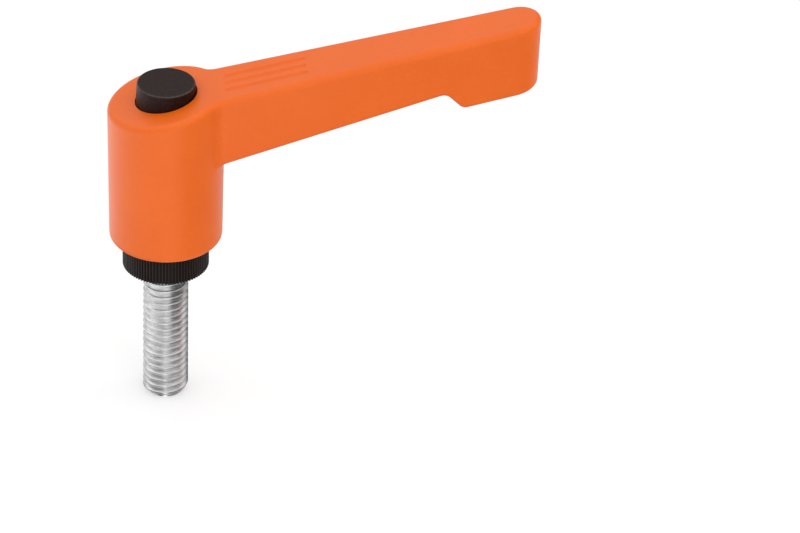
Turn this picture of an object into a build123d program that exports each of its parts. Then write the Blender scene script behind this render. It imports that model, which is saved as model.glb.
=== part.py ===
from build123d import *
import os
from math import cos, degrees, radians, sin, tan

# Adjustable clamping lever with a push button, a toothed clutch and a threaded stud.
# The origin is the centre of the collar's clamping face, +Z runs up the stud's axis to the
# button and +X along the arm. All sizes are in millimetres and degrees.

os.makedirs("parts", exist_ok=True)

# Threaded stud
thread_diameter = 9.525
thread_pitch = 1.5875
thread_length = 31.75
thread_depth = 0.974
anchor_neck_radius = 4.0
anchor_across_flats = 11.5
anchor_base = 1.5
anchor_height = 5.0
pillar_radius = 3.4

# Serrated bush that clamps on the work and carries the lever
collar_radius = 9.0
collar_height = 6.65
face_relief = 0.35
face_relief_depth = 0.6
serration_count = 84
serration_depth = 0.3
neck_radius = 8.6
bush_top = 16.0

# Clutch ring between the bush and the lever
clutch_teeth = 36
tooth_tip_radius = 7.5
tooth_depth = 0.6
tooth_root_half_angle = 3.3
tooth_tip_half_angle = 1.5
ring_height = 6.0
ring_engagement = 3.0
ring_flange = 1.5
ring_wall = 1.2

# Return spring
spring_radius = 5.0
spring_wire = 0.8
spring_wire_flats = 8
spring_turns = 4.5

# Hub of the lever
hub_gap = 0.1
hub_base_radius = 11.75
hub_draft = 0.55
hub_base_fillet = 1.2
hub_height = 40.15
web_thickness = 3.0

# Arm of the lever, depths measured straight down from the top face
arm_length = 76.65
arm_rise = 12.4
arm_draft = 1.0
arm_tip_radius = 5.4
arm_taper = 2.0
arm_root_depth = 15.55
underside_rise = 17.2
pad_start = 60.5
pad_depth = 15.85
pad_ramp = 45.0
pad_notch_fillet = 2.0
pad_heel_fillet = 1.8
arm_edge_fillet = 1.2
arm_hub_blend = 3.2
top_edge_fillet = 1.2

# Grip grooves on the arm's top face
groove_count = 3
groove_pitch = 2.7
groove_width = 1.3
groove_depth = 0.3
groove_start = 12.2
groove_length = 17.2

# Push button
button_top_radius = 6.0
button_radius = 6.25
button_proud = 3.3
button_cone = 6.0
button_edge_fillet = 0.35
button_top_wall = 2.4
leg_thickness = 1.4
leg_count = 3
leg_angle = 58.0
barb_reach = 0.45
barb_height = 0.7

# Retaining screw and washer
screw_radius = 2.0
screw_grip = 7.0
screw_head_radius = 3.5
screw_head_height = 2.6
screw_socket_across_flats = 3.0
washer_radius = 4.4
washer_thickness = 1.0

# Clearances
running_clearance = 0.05
pillar_clearance = 0.1
tooth_play = 0.1
axial_play = 0.05
button_clearance = 0.15
leg_clearance = 0.15
leg_side_clearance = 4.0
release_gap = 0.3

# Heights that follow from the sizes above
ring_base = bush_top - ring_engagement
ring_top = ring_base + ring_height
button_travel = ring_height - ring_engagement + release_gap
cup_floor = ring_base - button_travel - release_gap
ledge_height = bush_top + axial_play
web_base = ring_top + barb_height + 2 * axial_play + release_gap
web_top = web_base + web_thickness
pillar_top = web_top + 2 * axial_play
hub_base = collar_height + hub_gap
head_base = pillar_top + washer_thickness
head_top = head_base + screw_head_height
skirt_base = web_top + button_travel + release_gap
button_top = hub_height + button_proud
button_bore = button_radius + button_clearance
leg_inner = button_radius - leg_thickness


def disc(radius, low, high):
    """Upright cylinder on the stud's axis."""
    solid = Cylinder(radius, high - low, align=(Align.CENTER, Align.CENTER, Align.MIN))
    return Pos(0, 0, low) * solid


def prism(sketch, low, high):
    """Sketch of the XY plane raised between two heights."""
    return extrude(Pos(0, 0, low) * sketch, amount=high - low)


def toothed_outline(count, root, tip, half_root, half_tip):
    """Closed outline with straight sided teeth around the stud's axis."""
    points = []
    for tooth in range(count):
        middle = 360 / count * tooth
        for radius, turn in ((root, -half_root), (tip, -half_tip), (tip, half_tip), (root, half_root)):
            angle = radians(middle + turn)
            points.append((radius * cos(angle), radius * sin(angle)))
    return Polygon(*points, align=None)


def sector(inner, outer, angle):
    """Part of a flat ring, centred on +X."""
    reach = 2 * outer
    spread = reach * tan(radians(angle / 2))
    wedge = Polygon((0, 0), (reach, -spread), (reach, spread), align=None)
    return (Circle(outer) - Circle(inner)) & wedge


def around(sketch, count):
    """Sketch repeated around the stud's axis."""
    copies = Sketch()
    for turn in range(count):
        copies += Rot(0, 0, 360 / count * turn) * sketch
    return copies


# Shank of the stud, with one V groove of the thread's depth to each pitch and a crest of an eighth pitch
thread_radius = thread_diameter / 2
shank = disc(thread_radius, -thread_length, 0)
tip_chamfer = 0.75 * thread_pitch
shank = chamfer(shank.edges().sort_by(Axis.Z)[0], tip_chamfer)
mouth_half = 7 / 16 * thread_pitch
groove_section = Polygon(
    (thread_radius - thread_depth, 0),
    (thread_radius, -mouth_half),
    (2 * thread_radius, -mouth_half),
    (2 * thread_radius, mouth_half),
    (thread_radius, mouth_half),
    align=None,
)
thread_groove = revolve(Plane.XZ * groove_section, Axis.Z)
for turn in range(int((thread_length - tip_chamfer) / thread_pitch)):
    shank -= Pos(0, 0, -(turn + 0.5) * thread_pitch) * thread_groove

# Upper end of the stud: a hexagon that the bush is moulded round and a pillar for the screw
anchor = disc(anchor_neck_radius, 0, anchor_base)
hexagon = RegularPolygon(anchor_across_flats / 2, 6, major_radius=False)
anchor += prism(hexagon, anchor_base, anchor_base + anchor_height)
anchor += disc(pillar_radius, anchor_base + anchor_height, pillar_top)
screw_tip = pillar_top - screw_grip
threaded_stud = shank + anchor - disc(screw_radius, screw_tip - screw_radius, pillar_top)

# Serrated bush: collar, neck that the hub runs on, and a toothed cup for the clutch ring
serration_angle = 360 / serration_count
serrated_outline = toothed_outline(
    serration_count,
    collar_radius - serration_depth,
    collar_radius,
    0.42 * serration_angle,
    0.16 * serration_angle,
)
play_angle = degrees(tooth_play / tooth_tip_radius)
tooth_space = toothed_outline(
    clutch_teeth,
    tooth_tip_radius - tooth_depth + tooth_play,
    tooth_tip_radius + tooth_play,
    tooth_root_half_angle + play_angle,
    tooth_tip_half_angle + play_angle,
)
serrated_bush = prism(serrated_outline, 0, collar_height) + disc(neck_radius, collar_height, bush_top)
serrated_bush -= prism(tooth_space, cup_floor, bush_top)
serrated_bush -= disc(thread_diameter / 2 + face_relief, 0, face_relief_depth)
serrated_bush -= anchor

# Clutch ring, half in the bush and half in the hub until the button pushes it down
ring_outline = toothed_outline(
    clutch_teeth,
    tooth_tip_radius - tooth_depth,
    tooth_tip_radius,
    tooth_root_half_angle,
    tooth_tip_half_angle,
)
ring_bore = tooth_tip_radius - tooth_depth - ring_wall
clutch_ring = prism(ring_outline, ring_base, ring_top)
clutch_ring -= disc(ring_bore, ring_base, ring_top - ring_flange)
clutch_ring -= disc(pillar_radius + pillar_clearance, ring_base, ring_top)

# Return spring between the cup's floor and the ring's flange
spring_base = cup_floor + spring_wire / 2 + axial_play
spring_height = ring_top - ring_flange - cup_floor - spring_wire - 2 * axial_play
coil = Helix(spring_height / spring_turns, spring_height, spring_radius)
wire_section = Plane(coil @ 0, z_dir=coil % 0) * RegularPolygon(spring_wire / 2, spring_wire_flats)
return_spring = Pos(0, 0, spring_base) * sweep(wire_section, path=coil, is_frenet=True)

# Washer and socket head screw that hold the hub down on the bush
retaining_washer = disc(washer_radius, pillar_top, head_base)
retaining_washer -= disc(screw_radius + pillar_clearance, pillar_top, head_base)
retaining_screw = disc(screw_head_radius, head_base, head_top) + disc(screw_radius, screw_tip, head_base)
socket = RegularPolygon(screw_socket_across_flats / 2, 6, major_radius=False)
retaining_screw -= prism(socket, head_top - 0.65 * screw_head_height, head_top)

# Lever body: the hub and arm share one sloping top face
top_plane = Plane(
    origin=(0, 0, hub_height),
    x_dir=(cos(radians(arm_rise)), 0, sin(radians(arm_rise))),
    z_dir=(-sin(radians(arm_rise)), 0, cos(radians(arm_rise))),
)
ceiling = hub_height + (arm_length + arm_tip_radius) * tan(radians(arm_rise))
hub_top_radius = hub_base_radius + (ceiling - hub_base) * tan(radians(hub_draft))
hub = Cone(
    hub_base_radius,
    hub_top_radius,
    ceiling - hub_base,
    align=(Align.CENTER, Align.CENTER, Align.MIN),
)
hub = Pos(0, 0, hub_base) * Rot(0, 0, 180) * hub

# Plan of the arm: two tapering sides that run into a round tip
tip_centre = arm_length - arm_tip_radius
side_x = tip_centre + arm_tip_radius * sin(radians(arm_taper))
side_y = arm_tip_radius * cos(radians(arm_taper))
root_y = side_y + side_x * tan(radians(arm_taper))
plan = Polygon((0, -root_y), (side_x, -side_y), (side_x, side_y), (0, root_y), align=None)
plan += Pos(tip_centre, 0) * Circle(arm_tip_radius)
arm = extrude(plan, amount=ceiling)
arm_sides = [face for face in arm.faces() if abs(face.normal_at().Z) < 0.5 and face.center().X > 1]
arm = draft(arm_sides, Plane.XY.offset(ceiling), -arm_draft)

# Side view of the arm: sloping top, steeper underside, notch and finger pad
top_slope = tan(radians(arm_rise))
under_slope = tan(radians(underside_rise))
ramp_slope = tan(radians(pad_ramp))
root_z = hub_height + hub_base_radius * top_slope - arm_root_depth
under_z = root_z - hub_base_radius * under_slope
heel_z = hub_height + pad_start * top_slope - pad_depth
notch_x = (heel_z + ramp_slope * pad_start - under_z) / (under_slope + ramp_slope)
end_x = arm_length + arm_tip_radius
side_view = Polygon(
    (0, under_z),
    (notch_x, under_z + under_slope * notch_x),
    (pad_start, heel_z),
    (end_x, heel_z + top_slope * (end_x - pad_start)),
    (end_x, hub_height + top_slope * end_x),
    (0, hub_height),
    align=None,
)
corners = side_view.vertices().sort_by(Axis.X)
side_view = fillet(corners[2], pad_notch_fillet)
side_view = fillet(side_view.vertices().sort_by_distance((pad_start, heel_z, 0))[0], pad_heel_fillet)
arm &= extrude(Plane.XZ * side_view, amount=2 * hub_base_radius, both=True)


def on_top_face(edge):
    """Whether an edge lies in the sloping top face."""
    return abs(top_plane.to_local_coords(edge.center()).Z) < 0.01


lower_edges = [
    edge
    for edge in arm.edges()
    if not on_top_face(edge)
    and edge.center().X > 1
    and abs(edge.center().Y) > arm_tip_radius / 4
    and abs((edge % 0.5).Z) < 0.9
]
arm = fillet(lower_edges, arm_edge_fillet)

# Hub and arm joined with a soft blend, then cut by the top face and rounded along it
hub -= Pos(0, 0, hub_height) * Rot(0, -arm_rise, 0) * Box(
    4 * arm_length,
    4 * arm_length,
    2 * arm_length,
    align=(Align.CENTER, Align.CENTER, Align.MIN),
)
body = hub + arm
joint_edges = [
    edge
    for edge in body.edges()
    if not on_top_face(edge)
    and hub_base + hub_base_fillet < edge.center().Z
    and abs(Vector(edge.center().X, edge.center().Y).length - hub_base_radius) < arm_edge_fillet
    and edge.center().X > 1
]
body = fillet(joint_edges, arm_hub_blend)
body = fillet([edge for edge in body.edges() if on_top_face(edge)], top_edge_fillet)
base_edges = body.edges().filter_by(GeomType.CIRCLE).sort_by(Axis.Z)
body = fillet(base_edges[0], hub_base_fillet)

# Hub bores: bearing on the bush, clutch teeth, web for the washer, and the button's bore
body -= disc(neck_radius + running_clearance, hub_base, ledge_height)
body -= prism(tooth_space, ledge_height, web_base)
body -= disc(pillar_radius + pillar_clearance, web_base, web_top)
slot = sector(washer_radius + leg_clearance, button_radius + leg_clearance, leg_angle + 2 * leg_side_clearance)
body -= prism(around(slot, leg_count), web_base, web_top)
body -= disc(button_bore, web_top, ceiling)

# Grip grooves in the sloping top face, as a ball ended cutter leaves them
cutter_radius = (groove_width**2 / 4 + groove_depth**2) / (2 * groove_depth)
cutter_travel = groove_length - groove_width
cutter_section = SlotCenterToCenter(cutter_travel, 2 * cutter_radius) & Pos(0, cutter_radius) * Rectangle(
    cutter_travel + 4 * cutter_radius, 2 * cutter_radius
)
cutter = revolve(cutter_section, Axis.X)
for groove in range(groove_count):
    offset = (groove - (groove_count - 1) / 2) * groove_pitch
    place = Pos(groove_start + groove_length / 2, offset, cutter_radius - groove_depth)
    body -= top_plane.location * place * cutter
lever_body = body

# Push button: hollow cap on three barbed legs that reach through the web to the ring
leg_base = ring_top + axial_play
cap_profile = Polygon(
    (0, leg_base),
    (button_radius, leg_base),
    (button_radius, button_top - button_cone),
    (button_top_radius, button_top),
    (0, button_top),
    align=None,
)
push_button = revolve(Plane.XZ * cap_profile, Axis.Z)
push_button = fillet(push_button.edges().sort_by(Axis.Z)[-1], button_edge_fillet)
push_button -= disc(leg_inner, leg_base, button_top - button_top_wall)
leg_gap = Rot(0, 0, 180 / leg_count) * sector(0.5 * leg_inner, 2 * button_radius, 360 / leg_count - leg_angle)
push_button -= prism(around(leg_gap, leg_count), leg_base, skirt_base)
barb = sector(leg_inner + 0.5 * leg_thickness, button_radius + barb_reach, 0.5 * leg_angle)
barb_top = web_base - axial_play
push_button += prism(around(barb, leg_count), barb_top - barb_height, barb_top)

nodes = {
    "threaded_stud": threaded_stud,
    "serrated_bush": serrated_bush,
    "clutch_ring": clutch_ring,
    "return_spring": return_spring,
    "retaining_washer": retaining_washer,
    "retaining_screw": retaining_screw,
    "lever_body": lever_body,
    "push_button": push_button,
}
for name, solid in nodes.items():
    export_step(solid, f"parts/{name}.step")
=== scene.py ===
from math import cos, pi, radians, sin

import bmesh
import bpy
import numpy as np
from mathutils import Matrix, Vector


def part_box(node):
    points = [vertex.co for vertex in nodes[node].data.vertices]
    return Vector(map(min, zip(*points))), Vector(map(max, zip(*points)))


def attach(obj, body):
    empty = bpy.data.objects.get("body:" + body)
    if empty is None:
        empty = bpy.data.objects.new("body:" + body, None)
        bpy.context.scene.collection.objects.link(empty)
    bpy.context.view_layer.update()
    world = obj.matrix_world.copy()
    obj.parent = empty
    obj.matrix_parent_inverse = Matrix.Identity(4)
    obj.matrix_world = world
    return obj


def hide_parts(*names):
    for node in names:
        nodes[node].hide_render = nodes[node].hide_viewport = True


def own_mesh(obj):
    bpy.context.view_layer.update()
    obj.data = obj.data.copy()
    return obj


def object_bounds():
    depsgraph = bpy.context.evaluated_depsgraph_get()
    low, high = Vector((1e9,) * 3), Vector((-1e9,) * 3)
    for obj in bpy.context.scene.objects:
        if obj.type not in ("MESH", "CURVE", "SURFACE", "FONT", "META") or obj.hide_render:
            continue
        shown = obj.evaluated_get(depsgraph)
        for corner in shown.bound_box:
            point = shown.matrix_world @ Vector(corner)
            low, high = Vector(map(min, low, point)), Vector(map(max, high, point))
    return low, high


# Looks of the adjustable clamping lever: finishes of its pieces, the cut thread of the stud, the
# spring's round wire, a pale studio and the camera. Lengths are in metres unless a name ends in _mm.

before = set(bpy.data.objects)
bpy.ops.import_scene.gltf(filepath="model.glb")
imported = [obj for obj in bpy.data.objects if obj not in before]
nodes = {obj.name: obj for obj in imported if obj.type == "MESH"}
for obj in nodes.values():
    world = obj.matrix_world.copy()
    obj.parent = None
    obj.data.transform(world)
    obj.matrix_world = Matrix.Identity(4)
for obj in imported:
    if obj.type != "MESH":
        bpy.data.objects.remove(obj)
cad_low, cad_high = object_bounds()
MM = 0.001

# Sizes of the stud that its thread and its moulded-in end are made from
PITCH_MM = 1.5875
MAJOR_MM = 4.7625
MINOR_MM = 3.79
CHAMFER_MM = 0.75 * PITCH_MM
NECK_MM = 4.0
ANCHOR_FLAT_MM = 5.75
ANCHOR_BASE_MM = 1.5
ANCHOR_TOP_MM = 6.5
PILLAR_MM = 3.4
SCREW_HOLE_MM = 2.0
SCREW_HOLE_DEPTH_MM = 7.0
THREAD_START = 0.315
RUN_OUT_MM = 1.2 * PITCH_MM
CORNER_EASE_MM = 0.06

# Radii of the collar and of the button's rim, and the height of the button's top
COLLAR_MM = 9.0
SERRATION_MM = 0.3
BUTTON_RIM_MM = 6.0
BUTTON_TOP_MM = 43.45

# Sizes of the return spring
WIRE_MM = 0.4
SPRING_TURNS = 4.5

# Fineness of the stud's and the coil's meshes
STUD_COLUMNS = 144
ROWS_PER_PITCH = 24
COIL_SIDES = 16
COIL_RINGS_PER_TURN = 48
SHARP_EDGE = radians(50)

# Brightness of the surroundings by bearing from the stud: 0 is behind, 0.25 left, 0.5 in front and
# 0.75 right. The walls give light. The floor shows its three only in reflections: one far from the
# stud; one nearer, darker as a painted shadow of the lever, with a narrow painted light in front; and
# one at the stud's foot, a painted contact shadow with the same narrow light.
FAR_FLOOR = (
    (0.0, 0.65), (0.15, 1.1), (0.3, 1.15), (0.45, 1.0), (0.54, 1.05),
    (0.58, 0.0), (0.72, 0.0), (0.79, 0.5), (0.9, 0.7),
)
# painted shadow of the lever on the floor near the stud, seen only in reflections; the peak at 0.485 is a
# narrow painted light
NEAR_FLOOR = (
    (0.0, 0.2), (0.2, 0.15), (0.36, 0.25), (0.45, 0.42), (0.485, 1.1),
    (0.51, 0.55), (0.6, 0.5), (0.74, 0.65), (0.82, 0.02),
)
# painted contact shadow at the stud's foot, seen only in reflections, with a narrow painted light in
# front
FOOT_SHADOW = ((0.0, 0.02), (0.45, 0.05), (0.485, 1.0), (0.52, 0.05), (0.9, 0.02))
WALLS = (
    (0.0, 1.05), (0.15, 0.85), (0.3, 0.75), (0.46, 0.5), (0.56, 0.28),
    (0.67, 0.28), (0.75, 0.55), (0.82, 0.1), (0.9, 0.12), (1.0, 1.05),
)
OVERHEAD = (1.3, 1.3, 1.3, 1)

# Half the floor's width, and the radii between which one of its rings gives way to the next
FLOOR_HALF = 6.0
FOOT_EDGE_MM = (4, 12)
NEAR_EDGE_MM = (35, 75)


class Shade:
    """A value, colour or vector at one point of a finish. Arithmetic on it adds Math nodes."""

    def __init__(self, finish, socket):
        self.finish = finish
        self.socket = socket

    def math(self, operation, left, right=0.0):
        return self.finish.node("ShaderNodeMath", {"operation": operation}, {0: left, 1: right})

    def __add__(self, other):
        return self.math("ADD", self, other)

    def __sub__(self, other):
        return self.math("SUBTRACT", self, other)

    def __rsub__(self, other):
        return self.math("SUBTRACT", other, self)

    def __mul__(self, other):
        return self.math("MULTIPLY", self, other)

    __radd__ = __add__
    __rmul__ = __mul__


class Finish:
    """The shader nodes of one material or world, on coordinates in millimetres from the stud's axis."""

    def __init__(self, owner):
        self.owner = owner
        self.owner.use_nodes = True
        self.tree = self.owner.node_tree
        self.tree.nodes.clear()

    def node(self, kind, settings=None, values=None, output=0):
        """One node: its settings first, then the values or links of its sockets."""
        made = self.tree.nodes.new(kind)
        for name, setting in (settings or {}).items():
            if name == "stops":
                ramp = made.color_ramp.elements
                while len(ramp) < len(setting):
                    ramp.new(0.5)
                for element, (place, colour) in zip(ramp, setting):
                    element.position = place
                    element.color = colour
            else:
                setattr(made, name, setting)
        for name, value in (values or {}).items():
            if isinstance(value, Shade):
                self.tree.links.new(value.socket, made.inputs[name])
            else:
                made.inputs[name].default_value = value
        return Shade(self, made.outputs[output])

    def place(self, stretch=(1, 1, 1), turn=(0, 0, 0)):
        """Object coordinates in millimetres, stretched and turned for a pattern."""
        coordinates = self.node("ShaderNodeTexCoord", output="Object")
        scale = tuple(1000 * s for s in stretch)
        sockets = {"Vector": coordinates, "Scale": scale, "Rotation": turn}
        return self.node("ShaderNodeMapping", None, sockets)

    def noise(self, where, per_mm, detail=2.0, roughness=0.5):
        """Noise with that many features to the millimetre, from 0 to 1."""
        sockets = {"Vector": where, "Scale": per_mm, "Detail": detail, "Roughness": roughness}
        return self.node("ShaderNodeTexNoise", None, sockets)

    def step(self, value, start, end):
        """0 below start, 1 above end and a soft step between."""
        return self.node(
            "ShaderNodeMapRange",
            {"interpolation_type": "SMOOTHSTEP"},
            {"Value": value, "From Min": start, "From Max": end},
        )

    def blend(self, share, first, second):
        """Mixes two colours by a share."""
        mix = self.node("ShaderNodeMix", {"data_type": "RGBA"}, {0: share}, output=2)
        for socket, colour in ((6, first), (7, second)):
            if isinstance(colour, Shade):
                self.tree.links.new(colour.socket, mix.socket.node.inputs[socket])
            else:
                mix.socket.node.inputs[socket].default_value = colour
        return mix

    def radius(self, where):
        """Distance from the stud's axis in millimetres."""
        flat = self.node("ShaderNodeVectorMath", {"operation": "MULTIPLY"}, {0: where, 1: (1, 1, 0)})
        return self.node("ShaderNodeVectorMath", {"operation": "LENGTH"}, {0: flat}, output="Value")

    def part(self, vector, axis):
        """One coordinate of a vector."""
        return self.node("ShaderNodeSeparateXYZ", None, {0: vector}, output=axis)

    def ring(self, where, levels):
        """Grey level that depends on the bearing from the stud's axis alone."""
        across, ahead = self.part(where, "X"), 0 - self.part(where, "Y")
        bearing = self.node("ShaderNodeMath", {"operation": "ARCTAN2"}, {0: across, 1: ahead})
        stops = [(place, (level, level, level, 1)) for place, level in levels]
        return self.node("ShaderNodeValToRGB", {"stops": stops}, {0: bearing * (0.5 / pi) + 0.5})

    def bump(self, height, strength, distance_mm):
        """Normal of a surface that rises by a height map."""
        return self.node(
            "ShaderNodeBump", None, {"Height": height, "Strength": strength, "Distance": distance_mm * MM}
        )

    def surface(self, **values):
        """The Principled shader that ends the finish; underscores stand for spaces."""
        named = {name.replace("_", " "): value for name, value in values.items()}
        shader = self.node("ShaderNodeBsdfPrincipled", None, named)
        self.node_output(shader)
        return self.owner

    def node_output(self, shader, kind="ShaderNodeOutputMaterial"):
        out = self.tree.nodes.new(kind)
        self.tree.links.new(shader.socket, out.inputs["Surface"])


def moulded_nylon(name, deep, pale, gloss, grain, shine):
    """Matte moulded nylon: spark-eroded mould grain, faint flow clouds and a slightly uneven sheen."""
    finish = Finish(bpy.data.materials.new(name))
    where = finish.place()
    clouds = finish.noise(where, 0.09, 3.0)
    fine = finish.noise(where, 3.6, 3.0, 0.6)
    speckle = finish.noise(where, 1.1, 2.0)
    share = finish.step(0.45 * clouds + 0.25 * speckle + 0.3 * fine, 0.3, 0.7)
    colour = finish.blend(share, deep, pale)
    return finish.surface(
        Base_Color=colour,
        Roughness=gloss + 0.1 * fine,
        Normal=finish.bump(fine, grain, 0.05),
        Specular_IOR_Level=shine,
    )


def button_nylon(name, deep, pale, pale_edge_colour, rim_mm, top_mm):
    """Black moulded button: coarse grain, and a painted highlight that makes the rim of its top a little
    paler.
    """
    finish = Finish(bpy.data.materials.new(name))
    where = finish.place()
    fine = finish.noise(where, 3.2, 2.0, 0.6)
    speckle = finish.noise(where, 1.1, 2.0)
    # painted highlight: the outer edge of the button's top is made paler in speckles, where it would
    # catch the light
    painted_rim_highlight = finish.step(finish.radius(where), rim_mm - 0.4, rim_mm - 0.1)
    painted_rim_highlight = painted_rim_highlight * finish.step(finish.part(where, "Z"), top_mm - 0.4, top_mm - 0.1)
    body = finish.blend(finish.step(0.7 * fine + 0.3 * speckle, 0.35, 0.65), deep, pale)
    return finish.surface(
        Base_Color=finish.blend(painted_rim_highlight * finish.step(fine, 0.2, 0.6), body, pale_edge_colour),
        Roughness=0.38 + 0.14 * fine,
        Normal=finish.bump(fine, 0.6, 0.05),
        Specular_IOR_Level=0.12,
    )


def serrated_nylon(name, deep, pale_edge_colour):
    """Black moulded collar whose serration crests are a little paler."""
    finish = Finish(bpy.data.materials.new(name))
    where = finish.place()
    crest = finish.step(finish.radius(where), COLLAR_MM - SERRATION_MM, COLLAR_MM)
    fine = finish.noise(where, 3.0, 2.0)
    colour = finish.blend(crest * finish.step(fine, 0.25, 0.8), deep, pale_edge_colour)
    return finish.surface(
        Base_Color=colour,
        Roughness=0.46 + 0.1 * fine,
        Normal=finish.bump(fine, 0.25, 0.04),
        Specular_IOR_Level=0.2,
    )


def plated_steel(name, bright, dull, roughness, scratch):
    """Plated steel with fine tool marks round the axis, which show as paler and darker lines."""
    finish = Finish(bpy.data.materials.new(name))
    where = finish.place()
    along = finish.place(stretch=(0.3, 0.3, 4.0))
    grain = finish.noise(along, 1.2, 3.0, 0.7)
    clouds = finish.noise(where, 0.5, 2.0)
    colour = finish.blend(finish.step(0.8 * grain + 0.2 * clouds, 0.35, 0.65), dull, bright)
    return finish.surface(
        Base_Color=colour,
        Metallic=1.0,
        Roughness=roughness + 0.2 * grain,
        Normal=finish.bump(grain, scratch, 0.02),
    )


orange_nylon = moulded_nylon(
    "orange_nylon", (0.75, 0.114, 0.002, 1), (0.79, 0.129, 0.004, 1), 0.38, 0.25, 0.38
)
black_nylon = button_nylon(
    "black_nylon",
    (0.009, 0.003, 0.0025, 1),
    (0.021, 0.009, 0.007, 1),
    # colour of the painted rim highlight
    (0.075, 0.06, 0.055, 1),
    BUTTON_RIM_MM,
    BUTTON_TOP_MM,
)
black_insert = serrated_nylon("black_insert", (0.010, 0.0055, 0.0045, 1), (0.024, 0.016, 0.014, 1))
zinc_steel = plated_steel("zinc_plated_steel", (0.80, 0.80, 0.805, 1), (0.56, 0.56, 0.565, 1), 0.2, 0.5)
clutch_steel = plated_steel("clutch_steel", (0.50, 0.49, 0.47, 1), (0.36, 0.35, 0.33, 1), 0.24, 0.15)
spring_steel = plated_steel("spring_steel", (0.60, 0.60, 0.59, 1), (0.44, 0.44, 0.43, 1), 0.18, 0.05)


def dress(obj, material):
    """Gives a piece one finish."""
    obj.data.materials.clear()
    obj.data.materials.append(material)


dress(nodes["lever_body"], orange_nylon)
dress(nodes["push_button"], black_nylon)
dress(nodes["serrated_bush"], black_insert)
dress(nodes["clutch_ring"], clutch_steel)
dress(nodes["return_spring"], spring_steel)
dress(nodes["retaining_washer"], zinc_steel)
dress(nodes["retaining_screw"], clutch_steel)


def thread_radius(turn, z_mm, tip_mm):
    """Radius of a cut thread: straight 60 degree flanks between a flat crest of an eighth pitch and a
    root of a sixth of a pitch, all eased at the corners. It runs out below the collar and is cut by the
    45 degree chamfer at the stud's tip."""
    phase = (z_mm / PITCH_MM - turn / (2 * pi) - THREAD_START) % 1.0
    from_root = np.abs(phase - 0.5) * PITCH_MM
    rise = (from_root - PITCH_MM / 12) / np.tan(radians(30))
    depth = MAJOR_MM - MINOR_MM
    low = 0.5 * (rise + np.sqrt(rise**2 + CORNER_EASE_MM**2))
    cut = 0.5 * (low + depth - np.sqrt((low - depth) ** 2 + CORNER_EASE_MM**2))
    fade = np.clip(-z_mm / RUN_OUT_MM, 0, 1) ** 0.5
    full = MAJOR_MM - fade * (depth - np.clip(cut, 0, depth))
    return np.minimum(full, MAJOR_MM - CHAMFER_MM + z_mm - tip_mm)


def closed_rings(name, rings):
    """Mesh of a stack of rings of equal count, closed with a pole at the centre of each end ring."""
    count = rings.shape[1]
    poles = np.stack([rings[0].mean(0), rings[-1].mean(0)])
    points = np.concatenate([rings.reshape(-1, 3), poles]) * MM
    here = np.arange(count)
    after = (here + 1) % count
    base = np.arange(len(rings) - 1)[:, None] * count
    sides = np.stack([base + here, base + after, base + count + after, base + count + here], -1)
    sides = sides.reshape(-1, 4)
    last = (len(rings) - 1) * count
    low = np.stack([np.full(count, len(points) - 2), after, here], -1)
    high = np.stack([np.full(count, len(points) - 1), last + here, last + after], -1)
    mesh = bpy.data.meshes.new(name)
    mesh.from_pydata(points.tolist(), [], sides.tolist() + low.tolist() + high.tolist())
    cleaned = bmesh.new()
    cleaned.from_mesh(mesh)
    bmesh.ops.remove_doubles(cleaned, verts=cleaned.verts, dist=1e-7)
    bmesh.ops.recalc_face_normals(cleaned, faces=cleaned.faces)
    cleaned.to_mesh(mesh)
    cleaned.free()
    mesh.polygons.foreach_set("use_smooth", np.ones(len(mesh.polygons), bool))
    mesh.set_sharp_from_angle(angle=SHARP_EDGE)
    return mesh


def fine_piece(name, rings, finish, node):
    """Shows a piece of the fixed insert by finer rings than its CAD node has."""
    piece = bpy.data.objects.new(name, closed_rings(name, rings))
    bpy.context.scene.collection.objects.link(piece)
    dress(piece, finish)
    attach(piece, "insert")
    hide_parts(node)
    return piece


def stud_rings():
    """The stud as rings of points round its axis. Thread rows climb with the helix, so that crests and
    roots run along the grid; above them come the neck, hexagon, pillar and screw hole as plain rings."""
    low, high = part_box("threaded_stud")
    tip_mm, top_mm = low.z / MM, high.z / MM
    turn = np.arange(STUD_COLUMNS) * 2 * pi / STUD_COLUMNS
    pitches = -tip_mm / PITCH_MM
    rows = np.arange(-1, pitches + 1e-6, 1 / ROWS_PER_PITCH)
    z = np.clip(tip_mm + PITCH_MM * (rows[:, None] + turn / (2 * pi)), tip_mm, 0)
    radius = thread_radius(turn[None, :], z, tip_mm)
    thread = np.stack([radius * np.cos(turn), radius * np.sin(turn), z], -1)
    hexagon = ANCHOR_FLAT_MM / np.cos((turn + pi / 6) % (pi / 3) - pi / 6)
    plain = [
        (NECK_MM, 0),
        (NECK_MM, ANCHOR_BASE_MM),
        (hexagon, ANCHOR_BASE_MM),
        (hexagon, ANCHOR_TOP_MM),
        (PILLAR_MM, ANCHOR_TOP_MM),
        (PILLAR_MM, top_mm),
        (SCREW_HOLE_MM, top_mm),
        (SCREW_HOLE_MM, top_mm - SCREW_HOLE_DEPTH_MM - SCREW_HOLE_MM),
    ]
    flat = 0 * turn
    upper = np.stack([np.stack([r * np.cos(turn), r * np.sin(turn), z0 + flat], -1) for r, z0 in plain])
    return np.concatenate([thread, upper])


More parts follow.
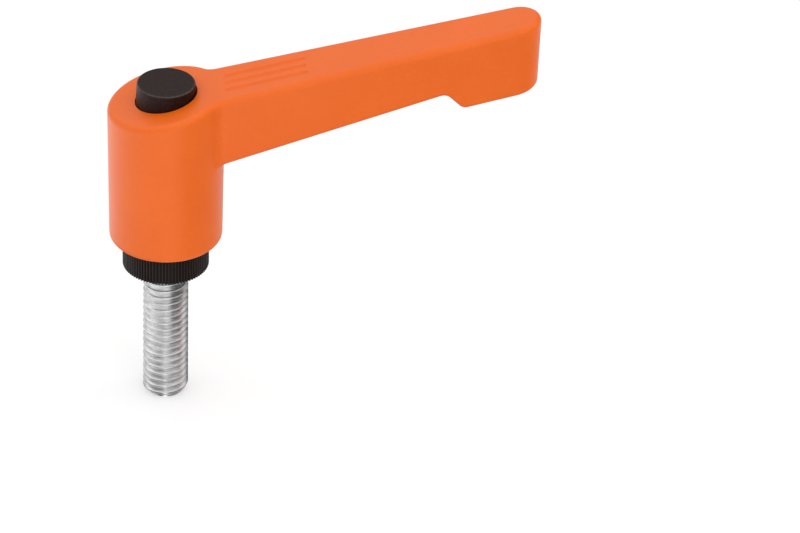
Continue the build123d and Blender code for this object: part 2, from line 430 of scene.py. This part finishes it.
def spring_rings():
    """Round wire along a right-handed helix: each ring lies across the wire, spanned by the outward
    direction and the one square to both it and the wire."""
    low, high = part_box("return_spring")
    radius = high.x / MM - WIRE_MM
    span = (high.z - low.z) / MM - 2 * WIRE_MM
    rings = int(COIL_RINGS_PER_TURN * SPRING_TURNS) + 1
    turn = np.linspace(0, 2 * pi * SPRING_TURNS, rings)[:, None]
    around = np.linspace(0, 2 * pi, COIL_SIDES, endpoint=False)[None, :]
    lead = span / (2 * pi * SPRING_TURNS * radius)
    out = np.cos(around)
    up = np.sin(around) / np.sqrt(1 + lead**2)
    reach = radius + WIRE_MM * out
    side = WIRE_MM * lead * up
    x = reach * np.cos(turn) + side * np.sin(turn)
    y = reach * np.sin(turn) - side * np.cos(turn)
    z = low.z / MM + WIRE_MM + lead * radius * turn + WIRE_MM * up
    return np.stack([x, y, z], -1)


fine_piece("stud_thread", stud_rings(), zinc_steel, "threaded_stud")
coil = fine_piece("spring_coil", spring_rings(), spring_steel, "return_spring")
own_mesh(coil)


def studio_floor():
    """Pale floor: white to the eye apart from the object's faint shadow, pale paint to diffuse light, and
    in reflections white paper that falls off towards the front right, as beside a dark studio, with a
    painted shadow of the lever near the stud, a painted contact shadow at its foot and a narrow painted
    light in front."""
    finish = Finish(bpy.data.materials.new("studio_floor"))
    seen = finish.node("ShaderNodeLightPath", output="Is Camera Ray")
    glossy = finish.node("ShaderNodeLightPath", output="Is Glossy Ray")
    through = finish.node("ShaderNodeLightPath", output="Is Transmission Ray")
    where = finish.place()
    paint = finish.node("ShaderNodeBsdfDiffuse", None, {"Color": (0.8, 0.8, 0.8, 1)})
    thin = finish.node("ShaderNodeBsdfDiffuse", None, {"Color": (0.5, 0.5, 0.5, 1)})
    glow = finish.node("ShaderNodeEmission", None, {"Color": (1, 1, 1, 1), "Strength": 0.5})
    white = finish.node("ShaderNodeAddShader", None, {0: thin, 1: glow})
    radius = finish.radius(where)
    # painted shadows seen in reflections: the foot ring is a painted contact shadow, the near ring a
    # painted shadow of the lever
    foot_shadow, near_shaded, far = (finish.ring(where, levels) for levels in (FOOT_SHADOW, NEAR_FLOOR, FAR_FLOOR))
    beside = finish.blend(finish.step(radius, *FOOT_EDGE_MM), foot_shadow, near_shaded)
    shown = finish.blend(finish.step(radius, *NEAR_EDGE_MM), beside, far)
    mirror = finish.node("ShaderNodeEmission", None, {"Color": shown, "Strength": 1.8})
    plain = finish.node("ShaderNodeMixShader", None, {0: seen, 1: paint, 2: white})
    reflected = finish.node("ShaderNodeMath", {"operation": "MAXIMUM"}, {0: glossy, 1: through})
    finish.node_output(finish.node("ShaderNodeMixShader", None, {0: reflected, 1: plain, 2: mirror}))
    mesh = bpy.data.meshes.new("studio_floor")
    square = ((-1, -1), (1, -1), (1, 1), (-1, 1))
    corners = [(x * FLOOR_HALF, y * FLOOR_HALF, cad_low.z) for x, y in square]
    mesh.from_pydata(corners, [], [(0, 1, 2, 3)])
    floor = bpy.data.objects.new("studio_floor", mesh)
    bpy.context.scene.collection.objects.link(floor)
    dress(floor, finish.owner)


def studio_world(strength):
    """Soft surroundings, plain white where the camera sees them: bright overhead, and lower down paler at
    the left and back than at the front right."""
    world = bpy.data.worlds.new("studio")
    bpy.context.scene.world = world
    finish = Finish(world)
    seen = finish.node("ShaderNodeLightPath", output="Is Camera Ray")
    direction = finish.node("ShaderNodeTexCoord", output="Generated")
    overhead = finish.step(finish.part(direction, "Z"), 0.3, 0.8)
    soft = finish.blend(overhead, finish.ring(direction, WALLS), OVERHEAD)
    lit = finish.node("ShaderNodeBackground", None, {"Color": soft, "Strength": strength})
    white = finish.node("ShaderNodeBackground", None, {"Color": (1, 1, 1, 1), "Strength": 1.0})
    shown = finish.node("ShaderNodeMixShader", None, {0: seen, 1: lit, 2: white})
    finish.node_output(shown, "ShaderNodeOutputWorld")


def softbox(name, azimuth, elevation, distance, width, height, level, mirrored=True):
    """Rectangular soft light that faces the middle of the object. Azimuth 0 is in front and 90 to the
    right; level is the brightness of its face, which glossy surfaces mirror or not."""
    lamp = bpy.data.lights.new(name, "AREA")
    lamp.shape = "RECTANGLE"
    lamp.size = width
    lamp.size_y = height
    lamp.energy = level * pi * width * height
    light = bpy.data.objects.new(name, lamp)
    bpy.context.scene.collection.objects.link(light)
    middle = (cad_low + cad_high) / 2
    a, e = radians(azimuth), radians(elevation)
    away = Vector((sin(a) * cos(e), -cos(a) * cos(e), sin(e)))
    light.location = middle + distance * away
    light.rotation_euler = away.to_track_quat("Z", "Y").to_euler()
    light.visible_glossy = mirrored


def studio_camera():
    """Long lens from the front left and above, held slightly turned."""
    azimuth, elevation, roll = radians(7.49), radians(33.01), 0.0338
    distance = 1.0
    aim = Vector((0.0492754, 0, -0.00352))
    right = Vector((cos(azimuth), -sin(azimuth), 0))
    up = Vector((sin(azimuth) * sin(elevation), cos(azimuth) * sin(elevation), cos(elevation)))
    ahead = Vector((sin(azimuth) * cos(elevation), cos(azimuth) * cos(elevation), -sin(elevation)))
    across = right * cos(roll) + up * sin(roll)
    upright = up * cos(roll) - right * sin(roll)
    data = bpy.data.cameras.new("studio_camera")
    data.sensor_width = 36.0
    data.lens = 4760.0 / 800 * 36.0
    data.clip_start = 0.05
    data.clip_end = 50.0
    camera = bpy.data.objects.new("studio_camera", data)
    bpy.context.scene.collection.objects.link(camera)
    turned = Matrix((across, upright, -ahead)).transposed().to_4x4()
    camera.matrix_world = Matrix.Translation(aim - distance * ahead) @ turned
    bpy.context.scene.camera = camera


studio_floor()
studio_world(0.87)
softbox("front_box", 15, 20, 1.6, 1.6, 1.0, 1.93, mirrored=False)
softbox("top_box", 0, 85, 1.0, 0.8, 0.8, 0.3, mirrored=False)
softbox("left_box", -100, 20, 1.0, 0.4, 1.0, 0.5)
softbox("right_box", 100, 25, 1.2, 0.5, 1.0, 1.4, mirrored=False)
studio_camera()
bpy.context.scene.view_settings.view_transform = "Standard"
